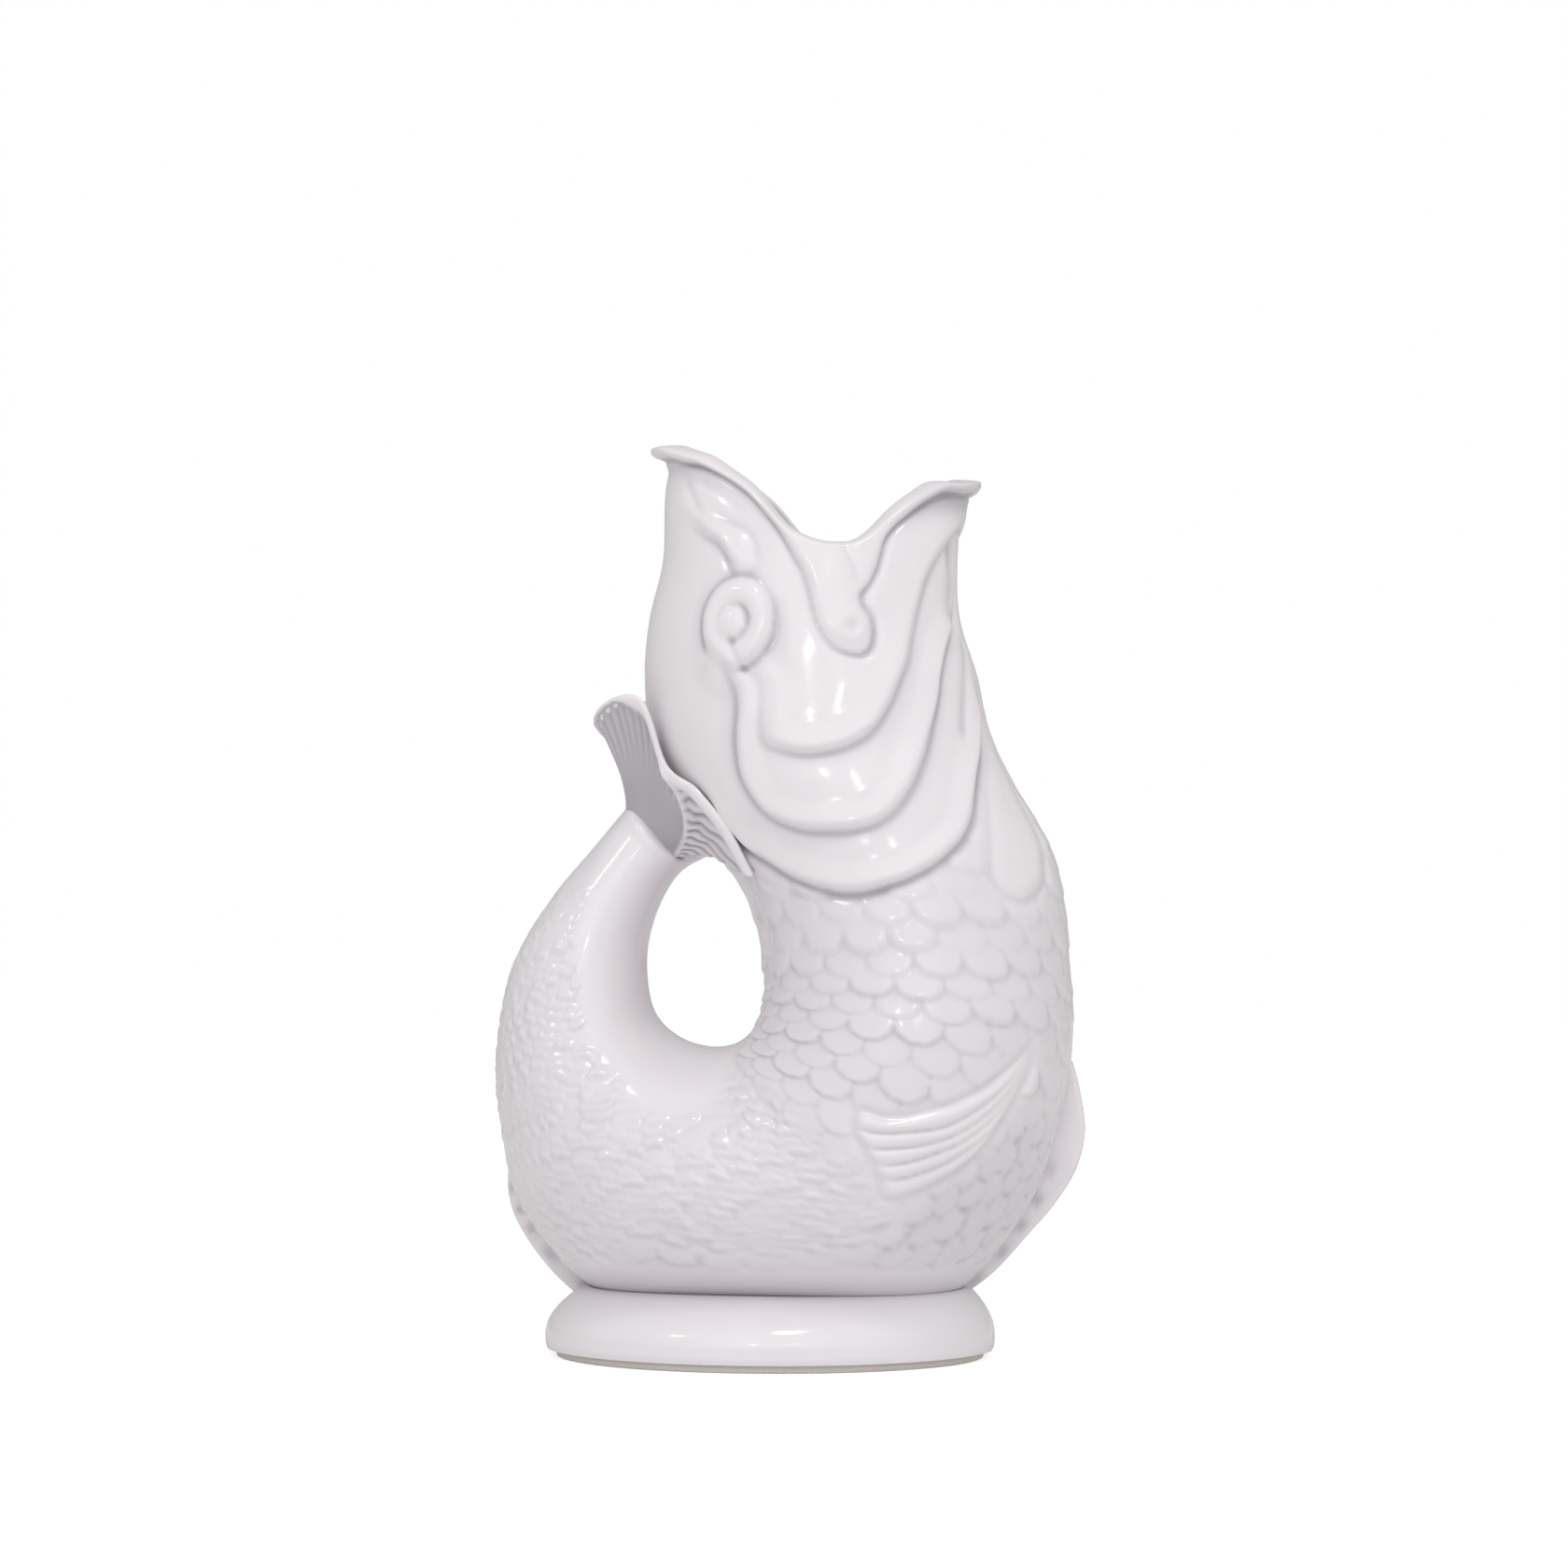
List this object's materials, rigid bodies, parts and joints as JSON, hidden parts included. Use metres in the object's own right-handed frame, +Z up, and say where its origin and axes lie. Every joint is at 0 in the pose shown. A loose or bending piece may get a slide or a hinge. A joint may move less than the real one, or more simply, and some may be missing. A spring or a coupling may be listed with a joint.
{
  "type": "gurgle jug",
  "caption": "Glazed ceramic pouring jug shaped as an upright fish: open mouth as spout, scaled belly as vessel, hollow curled tail as handle, on an oval pedestal.",
  "frame": {"origin": "on the table under the middle of the jug's bounding box", "axes": "+Z up, +X towards the belly and the pouring lip, -X towards the tail handle, Y across the jug"},
  "size_m": [0.1567, 0.1038, 0.24],
  "materials": {
    "white_glaze": "glossy off-white glaze on earthenware",
    "bare_clay": "unglazed fired clay, wiped clean of glaze where the jug stands"
  },
  "bodies": {
    "root": {"vessel_body": "white_glaze", "tail_handle": "white_glaze", "pedestal": "white_glaze", "foot_ring": "bare_clay", "upper_lip": "white_glaze", "lower_lip": "white_glaze", "tail_fin": "white_glaze", "ventral_fin": "white_glaze", "anal_fin": "white_glaze", "eye_ring_right": "white_glaze", "eye_ring_left": "white_glaze", "eye_pupil_right": "white_glaze", "eye_pupil_left": "white_glaze", "brow_right": "white_glaze", "brow_left": "white_glaze", "gill_cover_right": "white_glaze", "gill_cover_left": "white_glaze", "cheek_band_right": "white_glaze", "cheek_band_left": "white_glaze", "cheek_plate_right": "white_glaze", "cheek_plate_left": "white_glaze", "throat_lobe_right": "white_glaze", "throat_lobe_left": "white_glaze", "pectoral_fin_right": "white_glaze", "pectoral_fin_left": "white_glaze"}
  },
  "joints": []
}
